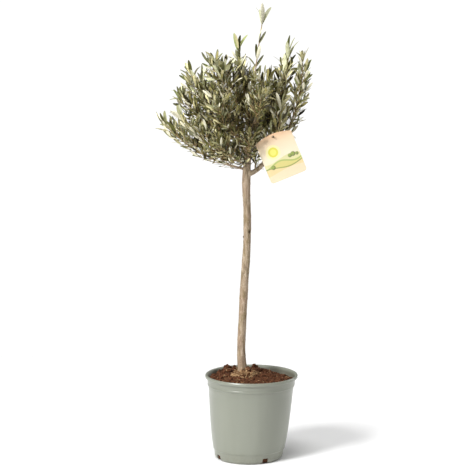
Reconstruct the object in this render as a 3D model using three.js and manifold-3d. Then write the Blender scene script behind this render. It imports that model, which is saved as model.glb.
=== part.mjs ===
// A young olive tree grown as a standard: one slim, slightly crooked trunk in a plastic nursery pot, under a
// loose round crown of narrow grey-green leaves. A card label hangs in the crown on a twig.
// Millimetres, +Z up. The origin is the middle of the pot's flat underside, and -Y is the front.

import * as THREE from "three";
import { mergeVertices } from "three/addons/utils/BufferGeometryUtils.js";
import Module from "manifold-3d";

const wasm = await Module();
wasm.setup();

const CLEARANCE = 0.3; // between two pieces that touch in life
const SHORTEST_EDGE = 0.02; // shorter ones, left by a cut, are closed up
const UP = new THREE.Vector3(0, 0, 1);

// A closed geometry as a solid that can be cut and joined.
function solidOf(geometry) {
  const bare = new THREE.BufferGeometry().setAttribute("position", geometry.getAttribute("position"));
  bare.setIndex(geometry.index);
  const merged = mergeVertices(bare, 1e-4);
  return new wasm.Manifold(
    new wasm.Mesh({
      numProp: 3,
      vertProperties: new Float32Array(merged.attributes.position.array),
      triVerts: new Uint32Array(merged.index.array),
    }),
  );
}

// The largest piece of a solid, as a geometry: what a cut leaves loose is dropped.
function geometryOf(solid) {
  const [body] = solid.simplify(SHORTEST_EDGE).decompose().sort((a, b) => b.volume() - a.volume());
  const { vertProperties, triVerts, numProp, numVert } = body.getMesh();
  const position = new Float32Array(numVert * 3);
  for (let i = 0; i < numVert; i++) position.set(vertProperties.subarray(i * numProp, i * numProp + 3), i * 3);
  return new THREE.BufferGeometry()
    .setAttribute("position", new THREE.BufferAttribute(position, 3))
    .setIndex(new THREE.BufferAttribute(triVerts, 1));
}

// A round limb along a curve: a cylinder with its rings carried to the curve. radiusAt(share, turn) gives the
// radius at a share of the length and a turn round the limb.
function limbSolid(curve, radiusAt, sides, rings) {
  const tube = new THREE.CylinderGeometry(1, 1, 1, sides, rings);
  const { normals, binormals } = curve.computeFrenetFrames(rings);
  const position = tube.getAttribute("position");
  const point = new THREE.Vector3();
  for (let i = 0; i < position.count; i++) {
    point.fromBufferAttribute(position, i);
    const ring = Math.round((point.y + 0.5) * rings);
    const radius = radiusAt(ring / rings, Math.atan2(point.z, point.x));
    const centre = curve.getPoint(ring / rings);
    centre.addScaledVector(normals[ring], point.x * radius).addScaledVector(binormals[ring], -point.z * radius);
    position.setXYZ(i, centre.x, centre.y, centre.z);
  }
  return solidOf(tube);
}

// A generator of numbers from 0 to 1 that gives the same row for the same seed.
function seeded(seed) {
  let state = seed * 7919 + 1;
  return () => {
    state = (state * 16807) % 2147483647;
    return state / 2147483647;
  };
}

// Nursery pot: a moulded wall with a lip, a collar under it, a recessed foot and notches that let water out
const POT_HEIGHT = 175;
const LIP_RADIUS = 95;
const LIP_DEPTH = 5;
const COLLAR_RADIUS = 89.5;
const COLLAR_FOOT = 153; // height of the collar's lower edge
const WALL_TOP_RADIUS = 86.8;
const WALL_FOOT_RADIUS = 73.6;
const WALL_FOOT = 21; // height where the wall meets the recessed foot
const FOOT_RADIUS = 68;
const WALL_THICKNESS = 1.8;
const FLOOR_THICKNESS = 2.5;
const POT_FACETS = 36;
const DRAIN_WIDTH = 13;
const DRAIN_HEIGHT = 9.5;
const DRAIN_DEPTH = 12; // how far each notch runs in under the pot
const DRAIN_AZIMUTHS = [-61, 29, 119, 209]; // degrees from +X; two of the four show from the front

function turned(profile) {
  const points = profile.map(([radius, height]) => new THREE.Vector2(radius, height));
  return new THREE.LatheGeometry(points, POT_FACETS).rotateX(Math.PI / 2);
}

function wallRadius(height) {
  const share = (height - WALL_FOOT) / (COLLAR_FOOT - WALL_FOOT);
  return THREE.MathUtils.lerp(WALL_FOOT_RADIUS, WALL_TOP_RADIUS, share);
}

function pot() {
  const shell = solidOf(
    turned([
      [0, 0],
      [FOOT_RADIUS, 0],
      [FOOT_RADIUS + 3.2, 4.5],
      [FOOT_RADIUS + 4.6, WALL_FOOT - 1.5],
      [WALL_FOOT_RADIUS, WALL_FOOT],
      [WALL_TOP_RADIUS, COLLAR_FOOT - 2],
      [WALL_TOP_RADIUS + 1.6, COLLAR_FOOT],
      [COLLAR_RADIUS, POT_HEIGHT - LIP_DEPTH],
      [LIP_RADIUS - 0.6, POT_HEIGHT - LIP_DEPTH],
      [LIP_RADIUS, POT_HEIGHT - 1.5],
      [LIP_RADIUS - 1.8, POT_HEIGHT],
      [LIP_RADIUS - 4.5, POT_HEIGHT],
      [COLLAR_RADIUS - WALL_THICKNESS, POT_HEIGHT - LIP_DEPTH],
      [wallRadius(COLLAR_FOOT) - WALL_THICKNESS, COLLAR_FOOT],
      [WALL_FOOT_RADIUS - WALL_THICKNESS, WALL_FOOT],
      [FOOT_RADIUS - 1, FLOOR_THICKNESS],
      [0, FLOOR_THICKNESS],
    ]),
  );
  const notches = DRAIN_AZIMUTHS.map((azimuth) => {
    const notch = new THREE.BoxGeometry(2 * DRAIN_DEPTH, DRAIN_WIDTH, 2 * DRAIN_HEIGHT);
    notch.translate(FOOT_RADIUS + 3, 0, 0).rotateZ(THREE.MathUtils.degToRad(azimuth));
    return solidOf(notch);
  });
  return geometryOf(shell.subtract(wasm.Manifold.union(notches)));
}

// Trunk: a slim stem that leans a little and has the shallow bends of its years on a cane
const SOIL_AT_TRUNK = 171;
const TRUNK_HEAD = 642; // height where the trunk ends and the leading limb carries on
const STEM_COURSE = [
  // height, offset along X, offset along Y
  [SOIL_AT_TRUNK - 8, -14, 0],
  [221, -18, 1],
  [288, -15.5, 2],
  [359, -12, 1],
  [447, -6.5, -2],
  [508, -6, -1],
  [570, -8, 2],
  [TRUNK_HEAD, -4, 1],
  [705, 1.5, 3],
  [782, 8, 0],
];
const TRUNK_FOOT_RADIUS = 8.4;
const TRUNK_HEAD_RADIUS = 7;
const LEADER_TIP_RADIUS = 2.6;
const FLARE = 4.6; // extra radius where the roots spread at the soil
const FLARE_HEIGHT = 9;
const ROOT_LOBES = 4;
const TRUNK_SIDES = 10;

const stem = new THREE.CatmullRomCurve3(STEM_COURSE.map(([height, x, y]) => new THREE.Vector3(x, y, height)));

// The point of the central stem at a height.
function stemAt(height) {
  let low = 0;
  let high = 1;
  for (let i = 0; i < 24; i++) {
    const middle = (low + high) / 2;
    if (stem.getPoint(middle).z < height) low = middle;
    else high = middle;
  }
  return stem.getPoint(low);
}

// The stretch of the central stem between two heights.
function stemBetween(foot, head, steps) {
  const points = [];
  for (let i = 0; i <= steps; i++) points.push(stemAt(THREE.MathUtils.lerp(foot, head, i / steps)));
  return new THREE.CatmullRomCurve3(points);
}

function trunkRadius(height, turn) {
  const share = (height - SOIL_AT_TRUNK) / (TRUNK_HEAD - SOIL_AT_TRUNK);
  const flare = FLARE * Math.exp(-Math.max(0, height - SOIL_AT_TRUNK) / FLARE_HEIGHT);
  const swelling = 0.35 * Math.sin(height / 17) * Math.sin(height / 41);
  const lobes = 1 + 0.35 * Math.cos(ROOT_LOBES * turn + 0.6);
  return THREE.MathUtils.lerp(TRUNK_FOOT_RADIUS, TRUNK_HEAD_RADIUS, share) + swelling + flare * lobes;
}

function trunkSolid(growth) {
  const foot = SOIL_AT_TRUNK - 6;
  const rings = 26;
  const course = stemBetween(foot, TRUNK_HEAD, rings);
  const radiusAt = (share, turn) => growth + trunkRadius(THREE.MathUtils.lerp(foot, TRUNK_HEAD, share), turn);
  const ground = new THREE.BoxGeometry(90, 90, 40).translate(-14, 0, SOIL_AT_TRUNK + CLEARANCE - 20);
  return limbSolid(course, radiusAt, TRUNK_SIDES, rings).subtract(solidOf(ground));
}

// Compost: fills the pot to a finger's breadth under the lip, lumpy, heaped round the trunk and sunk at the back
const SOIL_AT_WALL = 158;
const SEAT_RADIUS = 20; // flat patch that the trunk stands on
const SOIL_RINGS = [SEAT_RADIUS, 38, 57, 73];
const LUMP = 2.2;
const BACK_SLOPE = 0.055;

function lumps(x, y) {
  return LUMP * (Math.sin(x / 6.1 + 1.3) * Math.cos(y / 7.3) + 0.7 * Math.sin(y / 4.7 + x / 9.7));
}

function compost() {
  const edge = wallRadius(SOIL_AT_WALL) - WALL_THICKNESS - CLEARANCE;
  const geometry = turned([
    [0, FLOOR_THICKNESS + CLEARANCE],
    [FOOT_RADIUS - 1 - CLEARANCE, FLOOR_THICKNESS + CLEARANCE],
    [WALL_FOOT_RADIUS - WALL_THICKNESS - CLEARANCE, WALL_FOOT],
    [edge, SOIL_AT_WALL],
    ...SOIL_RINGS.toReversed().map((radius) => [radius, SOIL_AT_TRUNK]),
    [0, SOIL_AT_TRUNK],
  ]);
  const trunkFoot = stemAt(SOIL_AT_TRUNK);
  const position = geometry.getAttribute("position");
  for (let i = 0; i < position.count; i++) {
    const [x, y] = [position.getX(i), position.getY(i)];
    if (position.getZ(i) < SOIL_AT_TRUNK - 1) continue;
    const radius = Math.hypot(x, y);
    const inward = 1 - radius / edge;
    const outward = Math.max(0, (radius - SEAT_RADIUS) / (edge - SEAT_RADIUS));
    const fall = (SOIL_AT_TRUNK - SOIL_AT_WALL) * outward ** 0.6;
    const slope = BACK_SLOPE * (x + y) * outward;
    const lump = lumps(x, y) * Math.min(1, 4 * outward);
    position.setXYZ(i, x + trunkFoot.x * inward, y + trunkFoot.y * inward, SOIL_AT_TRUNK - fall - slope + lump);
  }
  return geometry;
}

// Main limbs: the leading limb carries the trunk on into the crown, and the side arm leaves low on the right and
// turns up at an elbow
const LEADER_HEAD = 775;
const ELBOW = new THREE.Vector3(25.5, -8, 611);
const ARM_ROOT = 590; // height where the side arm leaves the trunk
const ARM_ROOT_RADIUS = 5.2;
const ARM_TIP_RADIUS = 4.4;
const ARM_SAG = 8; // how far the arm's middle lies under a straight line
const LIMB_SIDES = 6;

// One limb of the tree: its curve, its radius along it, and how it is faceted.
function limb(name, curve, footRadius, tipRadius, rings) {
  const radiusAt = (share) => THREE.MathUtils.lerp(footRadius, tipRadius, share);
  return { name, curve, radiusAt, solid: (growth) => limbSolid(curve, (s) => radiusAt(s) + growth, LIMB_SIDES, rings) };
}

function leaderLimb() {
  const curve = stemBetween(TRUNK_HEAD + CLEARANCE, LEADER_HEAD, 6);
  return limb("leading_limb", curve, TRUNK_HEAD_RADIUS, LEADER_TIP_RADIUS, 6);
}

function sideArm() {
  const root = stemAt(ARM_ROOT);
  const bend = root.clone().lerp(ELBOW, 0.5);
  bend.z -= ARM_SAG;
  const curve = new THREE.QuadraticBezierCurve3(root, bend, ELBOW);
  return limb("side_arm", curve, ARM_ROOT_RADIUS, ARM_TIP_RADIUS, 5);
}

// The sprays: each grows from its root on the central stem or the elbow, sets off at an angle of rise and curves
// up to a tip given by its azimuth from +X, its reach from the crown's axis and its height. Bare is the share of
// it that is bough, and spread is how far its side shoots stand out.
const CROWN_AXIS = new THREE.Vector3(-5, 0, 0);
const SPRAYS = [
  { name: "low_left", root: stemAt(600), azimuth: 182, reach: 163, top: 686, rise: 10, bare: 0.3, spread: 30 },
  { name: "left_under", root: stemAt(616), azimuth: 197, reach: 138, top: 704, rise: 16, bare: 0.2, spread: 38 },
  { name: "left", root: stemAt(640), azimuth: 173, reach: 134, top: 744, rise: 18, bare: 0.2, spread: 38 },
  { name: "upper_left", root: stemAt(664), azimuth: 170, reach: 114, top: 794, rise: 30, bare: 0.18, spread: 38 },
  { name: "top_left", root: stemAt(690), azimuth: 200, reach: 66, top: 810, rise: 50, bare: 0.18, spread: 36 },
  { name: "top_middle", root: stemAt(716), azimuth: 164, reach: 27, top: 838, rise: 66, bare: 0.18, spread: 26 },
  { name: "leader", root: stemAt(768), azimuth: 4, reach: 29, top: 897, rise: 84, bare: 0.08, spread: 0 },
  { name: "top_right", root: stemAt(704), azimuth: -36, reach: 50, top: 776, rise: 46, bare: 0.18, spread: 36 },
  { name: "right_tall", root: ELBOW, azimuth: 8, reach: 84, top: 834, rise: 72, bare: 0.22, spread: 32 },
  { name: "far_right", root: ELBOW, azimuth: 2, reach: 106, top: 816, rise: 44, bare: 0.36, spread: 20 },
  { name: "right_under", root: ELBOW, azimuth: -34, reach: 80, top: 722, rise: 44, bare: 0.34, spread: 24 },
  { name: "front_left", root: stemAt(650), azimuth: 234, reach: 112, top: 742, rise: 24, bare: 0.2, spread: 40 },
  { name: "front_right", root: stemAt(676), azimuth: -72, reach: 92, top: 756, rise: 30, bare: 0.2, spread: 38 },
  { name: "front_low", root: stemAt(612), azimuth: 232, reach: 90, top: 662, rise: 8, bare: 0.2, spread: 36 },
  { name: "front_under", root: stemAt(622), azimuth: 272, reach: 74, top: 676, rise: 14, bare: 0.2, spread: 34 },
  { name: "back_left", root: stemAt(644), azimuth: 132, reach: 116, top: 740, rise: 24, bare: 0.2, spread: 42 },
  { name: "back_right", root: stemAt(656), azimuth: 54, reach: 110, top: 750, rise: 26, bare: 0.2, spread: 40 },
  { name: "back_top", root: stemAt(684), azimuth: 98, reach: 74, top: 792, rise: 44, bare: 0.18, spread: 36 },
  { name: "back_low", root: stemAt(628), azimuth: 74, reach: 98, top: 684, rise: 16, bare: 0.2, spread: 36 },
  { name: "back_under", root: stemAt(610), azimuth: 138, reach: 100, top: 668, rise: 8, bare: 0.24, spread: 34 },
];
const BRANCH_TAPER = 0.011; // growth of a branch's radius for each mm back from its tip
const TWIG_RADIUS = 1.3; // at a spray's tip
const STEM_SIDES = 4;
const TWIG_SIDES = 3;

function branchCurve({ root, azimuth, reach, top, rise }) {
  const turn = THREE.MathUtils.degToRad(azimuth);
  const tip = CROWN_AXIS.clone().add(new THREE.Vector3(Math.cos(turn) * reach, Math.sin(turn) * reach, top));
  const level = tip.clone().sub(root).setZ(0).normalize();
  const climb = THREE.MathUtils.degToRad(rise);
  const away = level.multiplyScalar(Math.cos(climb)).addScaledVector(UP, Math.sin(climb));
  const control = root.clone().addScaledVector(away, 0.5 * tip.distanceTo(root));
  return new THREE.QuadraticBezierCurve3(root, control, tip);
}

// Each spray keeps to its own space: the part of the crown that lies nearer to its branch than to any other's.
const BRANCH_STEPS = 12;
const SPACE_MARGIN = 0.7;
for (const spray of SPRAYS) {
  spray.branch = branchCurve(spray);
  spray.length = spray.branch.getLength();
  const points = spray.branch.getSpacedPoints(BRANCH_STEPS);
  spray.lines = points.slice(1).map((end, i) => new THREE.Line3(points[i], end));
  spray.entryRadius = TWIG_RADIUS + BRANCH_TAPER * (1 - spray.bare) * spray.length;
  spray.rootRadius = TWIG_RADIUS + BRANCH_TAPER * spray.length;
}

const nearest = new THREE.Vector3();
function distanceToBranch({ lines }, point) {
  return Math.min(...lines.map((line) => line.closestPointToPoint(point, true, nearest).distanceTo(point)));
}

// How far a point lies inside a spray's space, less than nothing outside it.
function depthInSpace(spray, point) {
  const own = distanceToBranch(spray, point);
  const others = SPRAYS.filter((other) => other !== spray).map((other) => distanceToBranch(other, point));
  return (Math.min(...others) - own) / 2;
}

// A stretch of a curve, from one share of its length to another.
function stretchOf(curve, from, to, steps) {
  const points = [];
  for (let i = 0; i <= steps; i++) points.push(curve.getPointAt(THREE.MathUtils.lerp(from, to, i / steps)));
  return new THREE.CatmullRomCurve3(points);
}

function bough(spray) {
  const curve = stretchOf(spray.branch, 0, spray.bare, 4);
  return limb("bough_" + spray.name, curve, spray.rootRadius, spray.entryRadius, 4);
}

// Card label: an arched card with a punched hole, hung on a twig that comes forward from the elbow
const CARD_WIDTH = 77;
const CARD_HEIGHT = 86; // at its sides
const CARD_ARCH = 8; // rise of the top edge's middle
const CARD_CORNER = 6;
const CARD_THICKNESS = 0.6;
const CARD_HOLE_RADIUS = 2.6;
const CARD_HOLE_DROP = 6; // from the top edge down to the hole's middle
const CARD_TILT = 22.5; // degrees, its right side up
const CARD_HANG = new THREE.Vector3(47, -48, 667); // where the twig passes through the hole
const HANGER_RADIUS = 1.6;
const HANGER_PAST_CARD = 14;

function cardShape() {
  const half = CARD_WIDTH / 2;
  const top = CARD_HOLE_DROP - CARD_ARCH; // height of the top corners above the hole
  const foot = top - CARD_HEIGHT;
  const shape = new THREE.Shape();
  shape.moveTo(-half, top);
  shape.lineTo(-half, foot + CARD_CORNER);
  shape.absarc(-half + CARD_CORNER, foot + CARD_CORNER, CARD_CORNER, Math.PI, 1.5 * Math.PI, false);
  shape.absarc(half - CARD_CORNER, foot + CARD_CORNER, CARD_CORNER, 1.5 * Math.PI, 2 * Math.PI, false);
  shape.lineTo(half, top);
  shape.quadraticCurveTo(0, top + 2 * CARD_ARCH, -half, top);
  shape.holes.push(new THREE.Path().absarc(0, 0, CARD_HOLE_RADIUS, 0, 2 * Math.PI, true));
  return shape;
}

// The card hangs with the top of its hole resting on the twig.
function card() {
  const geometry = new THREE.ExtrudeGeometry(cardShape(), {
    depth: CARD_THICKNESS,
    bevelEnabled: false,
    curveSegments: 6,
  });
  const slack = CARD_HOLE_RADIUS - HANGER_RADIUS - CLEARANCE;
  geometry.rotateX(Math.PI / 2).rotateY(THREE.MathUtils.degToRad(-CARD_TILT));
  return geometry.translate(CARD_HANG.x, CARD_HANG.y, CARD_HANG.z - slack);
}

function hangerTwig() {
  const back = new THREE.Vector3(ELBOW.x + 6, ELBOW.y + 4, ELBOW.z + 22);
  const level = CARD_HANG.clone().setY(CARD_HANG.y + 14);
  const end = CARD_HANG.clone().setY(CARD_HANG.y - HANGER_PAST_CARD);
  const curve = new THREE.CatmullRomCurve3([ELBOW, back, level, CARD_HANG, end]);
  return limb("label_twig", curve, 2.4, HANGER_RADIUS, 10);
}

// Every limb, from the thickest to the thinnest. Each is cut clear of those before it.
const limbs = [leaderLimb(), sideArm(), ...SPRAYS.map(bough), hangerTwig()];

// Where the limbs run, so that leaves and twigs can keep off them.
const LIMB_SAMPLES = 14;
const limbPoints = [];
for (const { curve, radiusAt } of limbs) {
  for (let i = 0; i <= LIMB_SAMPLES; i++) {
    const share = i / LIMB_SAMPLES;
    limbPoints.push({ at: curve.getPointAt(share), radius: radiusAt(share) });
  }
}
for (let height = 560; height < TRUNK_HEAD; height += 8) {
  limbPoints.push({ at: stemAt(height), radius: TRUNK_HEAD_RADIUS });
}

function clearOfLimbs(point, halfWidth, ownEntry) {
  return limbPoints.every(({ at, radius }) => {
    const nearOwn = ownEntry && at.distanceTo(ownEntry) < 4;
    return nearOwn || at.distanceTo(point) > radius + halfWidth + 2.5;
  });
}

const CARD_REACH = 66; // from the card's middle to past its corners
const CARD_BERTH = 7; // kept free on both sides of the card
const cardTurn = THREE.MathUtils.degToRad(CARD_TILT);
const cardDown = new THREE.Vector3(Math.sin(cardTurn), 0, -Math.cos(cardTurn));
const cardMiddle = CARD_HANG.clone().addScaledVector(cardDown, CARD_HEIGHT / 2 + CARD_HOLE_DROP / 2);

function clearOfCard(point) {
  return Math.abs(point.y - cardMiddle.y) > CARD_BERTH || point.distanceTo(cardMiddle) > CARD_REACH;
}

// Leaves stand in pairs, each pair turned a quarter round from the last, and lean towards the shoot's tip
const LEAF_LENGTH = 40;
const LEAF_WIDTH = 10.5;
const LEAF_THICKNESS = 0.9;
const LEAF_WIDEST = 0.45;
const LEAF_LEAN = 38; // degrees from the shoot
const LEAF_ROOT = 0.3; // from the twig's axis to the leaf's foot, which is sunk in the twig
const LEAF_SEAT = 1.2; // how far below the shoot's node the foot is
const LEAF_TRIES = [1, 0.85, 0.7]; // sizes tried before a leaf is skipped

// A leaf is a flat double pyramid of three sides: two edges and a keel.
function leafSolid({ foot, along, across, length }) {
  const outline = [[0, 0], [1, LEAF_WIDEST], [0, 1]].map(([radius, share]) => new THREE.Vector2(radius, share));
  const geometry = new THREE.LatheGeometry(outline, 3);
  const face = new THREE.Vector3().crossVectors(along, across);
  const position = geometry.getAttribute("position");
  for (let i = 0; i < position.count; i++) {
    const point = foot.clone().addScaledVector(along, LEAF_ROOT + position.getY(i) * (length - LEAF_ROOT));
    point.addScaledVector(across, (position.getX(i) / Math.sqrt(3)) * LEAF_WIDTH);
    point.addScaledVector(face, (-position.getZ(i) / 1.5) * LEAF_THICKNESS);
    position.setXYZ(i, point.x, point.y, point.z);
  }
  return solidOf(geometry);
}

// A direction square to another, turned round it by an angle.
function sideOf(heading, turn) {
  const level = new THREE.Vector3().crossVectors(heading, UP).normalize();
  if (level.lengthSq() < 0.5) level.set(1, 0, 0);
  return level.applyAxisAngle(heading, turn);
}

// A leaf's place at a point of a shoot: its foot, its direction, its width direction and its length.
function leafAt(point, heading, turn, lean, random) {
  const foot = point.clone().addScaledVector(heading, -LEAF_SEAT);
  const angle = THREE.MathUtils.degToRad(lean * (0.7 + 0.6 * random()));
  const side = sideOf(heading, turn);
  const along = heading.clone().multiplyScalar(Math.cos(angle)).addScaledVector(side, Math.sin(angle));
  along.addScaledVector(UP, LEAF_LIFT).normalize();
  const across = new THREE.Vector3().crossVectors(along, side).normalize().applyAxisAngle(along, 1.4 * (random() - 0.5));
  return { foot, along, across, length: LEAF_LENGTH * (0.8 + 0.35 * random()) };
}

// Growing a spray: opposite side shoots fork off its stem at even steps, each shorter than the last. Every shoot
// bends upwards, wanders a little and bears a pair of leaves at each step and one at its tip
const SEED = 10; // of the first spray, and each next one has the next number
const STEM_STEP = 15;
const SHOOT_STEP = 17;
const FORK_ANGLE = 52; // degrees between a side shoot and the stem
const LEAF_LIFT = 0.3; // how far a leaf turns upwards
const LIFT = 0.4; // how far a shoot turns upwards in a step
const WANDER = 0.4;

function growSpray(spray, seed) {
  const random = seeded(seed);
  const entry = spray.branch.getPointAt(spray.bare);
  const free = (point, halfWidth) =>
    clearOfCard(point) &&
    clearOfLimbs(point, halfWidth, entry) &&
    depthInSpace(spray, point) > halfWidth + SPACE_MARGIN;
  const fits = ({ foot, along, across, length }) => {
    const tip = foot.clone().addScaledVector(along, length);
    const edges = [0.25, LEAF_WIDEST, 0.7].flatMap((share) => {
      const half = (LEAF_WIDTH / 2) * Math.min(share / LEAF_WIDEST, (1 - share) / (1 - LEAF_WIDEST));
      const middle = foot.clone().addScaledVector(along, share * length);
      return [1, -1].map((hand) => middle.clone().addScaledVector(across, hand * half));
    });
    return free(tip, 0) && edges.every((edge) => free(edge, 0));
  };

  const leaves = [];
  const offer = (leaf) => {
    const tries = LEAF_TRIES.map((size) => ({ ...leaf, length: leaf.length * size }));
    const fitting = tries.find(fits);
    if (fitting) leaves.push(fitting);
  };

  // The stem's knots are two steps apart: side shoots fork at the knots, leaves stand there and half-way between.
  const lean = spray.spread ? LEAF_LEAN : LEAF_LEAN / 2;
  const start = spray.bare + CLEARANCE / spray.length;
  const knots = Math.round(((1 - start) * spray.length) / STEM_STEP / 2);
  const stem = stretchOf(spray.branch, start, 1, knots);
  const shoots = [];
  const firstTurn = random() * Math.PI;
  for (let i = 1; i <= 2 * knots; i++) {
    const share = i / (2 * knots);
    const [before, after] = [Math.floor(i / 2), Math.ceil(i / 2)].map((knot) => stem.points[knot]);
    const at = before.clone().lerp(after, 0.5);
    const heading = stem.getTangent(share);
    const turn = firstTurn + (i * Math.PI) / 2;
    if (share === 1) offer(leafAt(at, heading, turn, 4, random));
    for (const half of [0, Math.PI]) {
      const reach = spray.spread * (1.1 - 0.6 * share) * (0.7 + 0.6 * random());
      const shootSteps = i % 2 || share === 1 ? 0 : Math.round(reach / SHOOT_STEP);
      if (shootSteps === 0) {
        offer(leafAt(at, heading, turn + half, lean, random));
        continue;
      }
      const fork = THREE.MathUtils.degToRad(FORK_ANGLE);
      const way = heading.clone().multiplyScalar(Math.cos(fork));
      way.addScaledVector(sideOf(heading, turn + half), Math.sin(fork));
      way.add(new THREE.Vector3(WANDER * (random() - 0.5), WANDER * (random() - 0.5), LIFT)).normalize();
      let end = at;
      for (let j = 1; j <= shootSteps; j++) {
        const next = at.clone().addScaledVector(way, j * SHOOT_STEP);
        if (!free(next, TWIG_RADIUS)) break;
        end = next;
        const pairTurn = turn + (j * Math.PI) / 2;
        for (const hand of [0, Math.PI]) offer(leafAt(end, way, pairTurn + hand, LEAF_LEAN, random));
        if (j === shootSteps) offer(leafAt(end, way, pairTurn, 5, random));
      }
      if (end !== at) shoots.push(new THREE.LineCurve3(at, end));
    }
  }
  return { stem, shoots, leaves };
}

function foliage(spray, seed) {
  const { stem, shoots, leaves } = growSpray(spray, seed);
  const stemRadius = (share) => THREE.MathUtils.lerp(spray.entryRadius, TWIG_RADIUS, share);
  const pieces = [limbSolid(stem, stemRadius, STEM_SIDES, stem.points.length - 1)];
  for (const shoot of shoots) {
    const radiusAt = (share) => THREE.MathUtils.lerp(TWIG_RADIUS, 0.8 * TWIG_RADIUS, share);
    pieces.push(limbSolid(shoot, radiusAt, TWIG_SIDES, 1));
  }
  for (const leaf of leaves) pieces.push(leafSolid(leaf));
  return geometryOf(wasm.Manifold.union(pieces));
}

// Materials
const plastic = new THREE.MeshStandardMaterial({ color: "#a3a797", roughness: 0.5, metalness: 0 });
const soil = new THREE.MeshStandardMaterial({ color: "#5a3d2b", roughness: 1, metalness: 0 });
const bark = new THREE.MeshStandardMaterial({ color: "#b09c84", roughness: 0.85, metalness: 0 });
const leafGreen = new THREE.MeshStandardMaterial({ color: "#7f8262", roughness: 0.6, metalness: 0 });
const paper = new THREE.MeshStandardMaterial({ color: "#fbe7cd", roughness: 0.55, metalness: 0 });

const tree = new THREE.Group();

function add(name, geometry, material) {
  const mesh = new THREE.Mesh(geometry, material);
  mesh.name = name;
  tree.add(mesh);
}

add("pot", pot(), plastic);
add("compost", geometryOf(solidOf(compost())), soil);
add("trunk", geometryOf(trunkSolid(0)), bark);
let earlier = trunkSolid(CLEARANCE);
for (const { name, solid } of limbs) {
  add(name, geometryOf(solid(0).subtract(earlier)), bark);
  earlier = earlier.add(solid(CLEARANCE));
}
SPRAYS.forEach((spray, index) => add("foliage_" + spray.name, foliage(spray, SEED + index), leafGreen));
add("label_card", card(), paper);

export default tree;
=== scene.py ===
import math

import bmesh
import bpy
import numpy as np
from mathutils import Matrix, Vector, noise


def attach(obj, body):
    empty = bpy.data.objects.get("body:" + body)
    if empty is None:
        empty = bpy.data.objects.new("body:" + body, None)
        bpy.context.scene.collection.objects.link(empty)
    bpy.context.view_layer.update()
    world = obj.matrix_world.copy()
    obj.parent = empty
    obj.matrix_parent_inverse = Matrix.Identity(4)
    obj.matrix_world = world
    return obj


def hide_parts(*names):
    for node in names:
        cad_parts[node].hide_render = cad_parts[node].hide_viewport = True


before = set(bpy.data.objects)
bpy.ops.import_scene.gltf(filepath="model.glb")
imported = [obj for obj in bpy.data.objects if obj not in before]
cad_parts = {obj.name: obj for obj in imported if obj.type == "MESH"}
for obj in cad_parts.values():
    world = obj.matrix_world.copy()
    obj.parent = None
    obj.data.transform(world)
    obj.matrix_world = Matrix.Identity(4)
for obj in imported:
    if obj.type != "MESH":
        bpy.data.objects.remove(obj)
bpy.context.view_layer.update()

# Pot: an injection-moulded polypropylene nursery pot in sage green, 19 cm across its lip. One shot of plastic
# gives the drawn wall, the step and the rolled lip at its top and the recessed foot, where four notches let
# water out. Sizes are in millimetres, as they are in the part's source.
MM = 0.001
POT_HEIGHT = 175
LIP_RADIUS = 95.4
COLLAR_FOOT = 153
WALL_TOP_RADIUS = 87.9
WALL_FOOT_RADIUS = 74.2
WALL_FOOT = 21
WALL_BULGE = 1.8
WALL_THICKNESS = 1.8
POT_LEAN = 0.033  # how far the wall stands off true to the right, per unit of height
LEAN_PIVOT = 80  # the height at which the leaned pot keeps its place
FOOT_RADIUS = 68
FLOOR_THICKNESS = 2.5
GROOVE_HEIGHT = 146
POT_SEGMENTS = 144
SHARP_ANGLE = math.radians(40)
DRAIN_WIDTH = 14.5
DRAIN_HEIGHT = 11.5
DRAIN_DEPTH = 12
DRAIN_AZIMUTHS = (-61, 29, 119, 209)
# Steps of the profile, as radius and height from the axis, the foot's rim, the collar's foot and the lip.
FOOT_HOLLOW = [(0, 0.9), (56, 0.9), (58.5, 0)]
FOOT_ROUND = [(-3, 0), (-0.6, 0.7), (1.4, 3), (2.8, 7.5), (4.4, 19.5)]
COLLAR_STEP = [(0, -1.2), (2, 0), (2.3, 3.4), (1.9, 4.2), (2.4, 5)]
LIP_OUTSIDE = [(-4.6, -8.4), (-4.4, -7.6), (-1.1, -7.2), (-0.2, -6), (0, -2.2)]
LIP_INSIDE = [(-0.6, -0.7), (-1.8, 0), (-3.4, -0.3), (-4.6, -1.6), (-6, -6)]


def linear(colour):
    """An sRGB hex colour as the linear colour that a socket takes."""
    shares = [int(colour[i : i + 2], 16) / 255 for i in (1, 3, 5)]
    return (*[s / 12.92 if s < 0.04045 else ((s + 0.055) / 1.055) ** 2.4 for s in shares], 1)


def add(tree, kind, links=None, stops=(), out=0, **settings):
    """Adds a node by its kind without its prefix, with its settings, its values and links and a ramp's stops.

    It gives one of the node's outputs, or the node itself where out is None.
    """
    prefixes = ("GeometryNode", "FunctionNode", "ShaderNode", "Node")
    node = tree.nodes.new(next(prefix + kind for prefix in prefixes if hasattr(bpy.types, prefix + kind)))
    for name, value in settings.items():
        setattr(node, name, value)
    for socket, value in (links or {}).items():
        if isinstance(value, bpy.types.NodeSocket):
            tree.links.new(value, node.inputs[socket])
        else:
            node.inputs[socket].default_value = value
    for i, (place, colour) in enumerate(stops):
        stop = node.color_ramp.elements[i] if i < 2 else node.color_ramp.elements.new(place)
        stop.position = place
        stop.color = linear(colour)
    return node.outputs[out] if node.outputs and out is not None else node


def emptied_tree(owner):
    owner.use_nodes = True
    owner.node_tree.nodes.clear()
    return owner.node_tree


def new_material(name):
    """A material, its emptied tree and the coordinates of the object that wears it."""
    material = bpy.data.materials.new(name)
    tree = emptied_tree(material)
    return material, tree, add(tree, "TexCoord", out="Object")


def set_shader(tree, **values):
    """Ends a material's tree with its one shader, whose inputs take links and plain values by their names."""
    named = {name.replace("_", " ").title().replace("Ior", "IOR"): value for name, value in values.items()}
    add(tree, "OutputMaterial", {"Surface": add(tree, "BsdfPrincipled", named)})


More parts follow.
